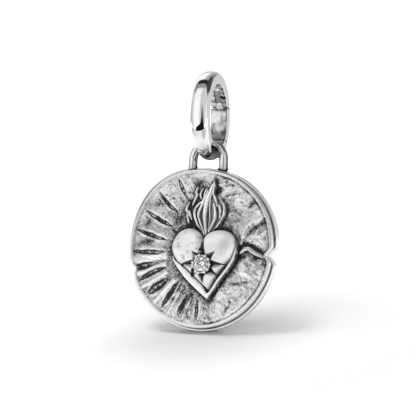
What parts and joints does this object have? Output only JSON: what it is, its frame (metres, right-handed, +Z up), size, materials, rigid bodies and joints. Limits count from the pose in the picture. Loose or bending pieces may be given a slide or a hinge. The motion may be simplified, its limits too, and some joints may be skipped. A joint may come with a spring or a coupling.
{
  "type": "charm pendant",
  "caption": "Round cast medallion with a domed flaming heart, a star-set stone and carved rays, hung by a wire loop on a hinged bail ring.",
  "frame": {"origin": "middle of the bail ring's inner top surface, where a chain sits", "axes": "+Z up, along the hang; the medallion's face looks towards -Y and its flat back towards +Y; +X to the right of the face"},
  "size_m": [0.0201, 0.0112, 0.0323],
  "materials": {
    "polished_silver": "high polish",
    "bright_silver": "burnished over a dark patina in its recesses",
    "oxidised_silver": "cast, oxidised dark in its recesses and wiped bright on top",
    "spring_steel": "plain rolled strip",
    "clear_stone": "brilliant cut, polished"
  },
  "bodies": {
    "bail": {"bail_body": "polished_silver", "hinge_pin": "polished_silver", "gate_spring": "spring_steel"},
    "gate": {"bail_gate": "polished_silver"},
    "charm": {"charm_loop": "bright_silver", "face_plate": "oxidised_silver", "back_plate": "bright_silver", "heart_frame": "bright_silver", "heart_dome": "bright_silver", "flame": "oxidised_silver", "stone_collet": "bright_silver", "stone": "clear_stone"}
  },
  "joints": [
    {"name": "gate_hinge", "type": "hinge", "parent": "bail", "child": "gate", "pos_m": [-0.00067, 0.00425, -0.00181], "axis": [-0.9877, -0.1564, 0], "range_deg": [0, 28], "stiffness_Nm_per_rad": 0.0002, "springref_deg": -14.32},
    {"name": "charm_swing", "type": "hinge", "parent": "bail", "child": "charm", "pos_m": [0, 0, -0.00737], "axis": [1, 0, 0], "range_deg": [-40, 40]}
  ]
}
